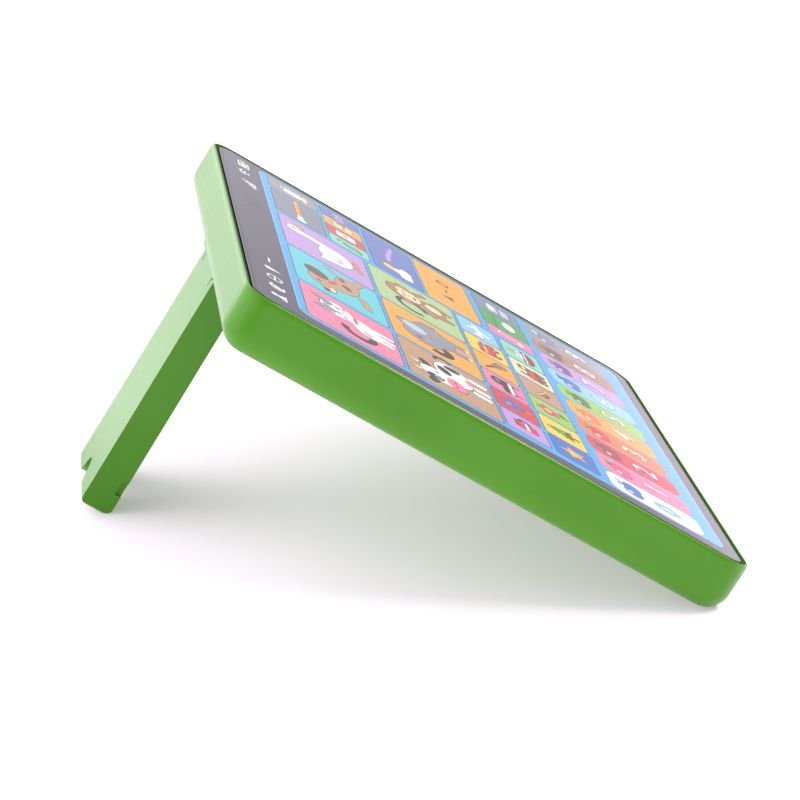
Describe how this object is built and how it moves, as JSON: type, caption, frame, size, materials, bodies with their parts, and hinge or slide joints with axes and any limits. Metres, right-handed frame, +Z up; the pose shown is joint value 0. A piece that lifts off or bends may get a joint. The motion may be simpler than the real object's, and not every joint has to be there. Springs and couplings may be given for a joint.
{
  "type": "kids toy tablet",
  "caption": "Child's learning tablet with a printed touch panel, standing on a fold-out rear leg, with battery bay, speaker and slide switch.",
  "frame": {"origin": "middle of the footprint on the floor under the standing tablet", "axes": "+Z up; +X to the right as the user faces the screen; the screen looks towards -Y and up; the leg is at +Y"},
  "size_m": [0.246, 0.248, 0.1203],
  "materials": {
    "green_plastic": "glossy moulded",
    "black_plastic": "satin moulded",
    "printed_panel": "clear glossy over print",
    "touch_film": "satin film",
    "cell_can": "printed sleeve",
    "contact_metal": "nickel plated",
    "screw_steel": "zinc plated",
    "speaker_steel": "plated",
    "speaker_paper": "pressed paper",
    "circuit_board": "solder mask",
    "chip_black": "moulded resin",
    "socket_plastic": "moulded",
    "capacitor_sleeve": "shrink sleeve",
    "red_wire": "soft sleeve",
    "black_wire": "soft sleeve"
  },
  "bodies": {
    "tablet": {"housing": "green_plastic", "front_plate": "black_plastic", "touch_sheet_lower": "touch_film", "touch_spacer": "touch_film", "touch_sheet_upper": "touch_film", "printed_sheet": "printed_panel", "touch_tail": "touch_film", "cell_1": "cell_can", "cell_2": "cell_can", "cell_3": "cell_can", "contact_plate_1": "contact_metal", "contact_plate_2": "contact_metal", "contact_plate_3": "contact_metal", "contact_spring_1": "contact_metal", "contact_spring_2": "contact_metal", "contact_spring_3": "contact_metal", "speaker_basket": "speaker_steel", "speaker_cone": "speaker_paper", "speaker_magnet": "speaker_steel", "speaker_clamp": "speaker_steel", "speaker_screw_1": "screw_steel", "speaker_screw_2": "screw_steel", "main_board": "circuit_board", "sound_chip": "chip_black", "amplifier_chip": "chip_black", "tail_socket": "socket_plastic", "capacitor_1": "capacitor_sleeve", "capacitor_2": "capacitor_sleeve", "board_screw_1": "screw_steel", "board_screw_2": "screw_steel", "board_screw_3": "screw_steel", "switch_body": "contact_metal", "switch_board": "circuit_board", "switch_screw_1": "screw_steel", "switch_screw_2": "screw_steel", "case_screw_1": "screw_steel", "case_screw_2": "screw_steel", "case_screw_3": "screw_steel", "case_screw_4": "screw_steel", "case_screw_5": "screw_steel", "case_screw_6": "screw_steel", "speaker_wire_1": "red_wire", "speaker_wire_2": "black_wire"},
    "rear_leg": {"leg": "green_plastic"},
    "battery_cover": {"battery_door": "green_plastic", "door_screw": "screw_steel"},
    "power_slider": {"switch_knob": "black_plastic"}
  },
  "joints": [
    {"name": "leg_hinge", "type": "hinge", "parent": "tablet", "child": "rear_leg", "pos_m": [0, 0.06686, 0.09988], "axis": [-1, 0, 0], "range_deg": [0, 90]},
    {"name": "battery_cover_lift", "type": "slide", "parent": "tablet", "child": "battery_cover", "axis": [0, 0.4691, -0.8831], "range_m": [0, 0.02]},
    {"name": "power_slide", "type": "slide", "parent": "tablet", "child": "power_slider", "axis": [1, 0, 0], "range_m": [0, 0.006]}
  ]
}
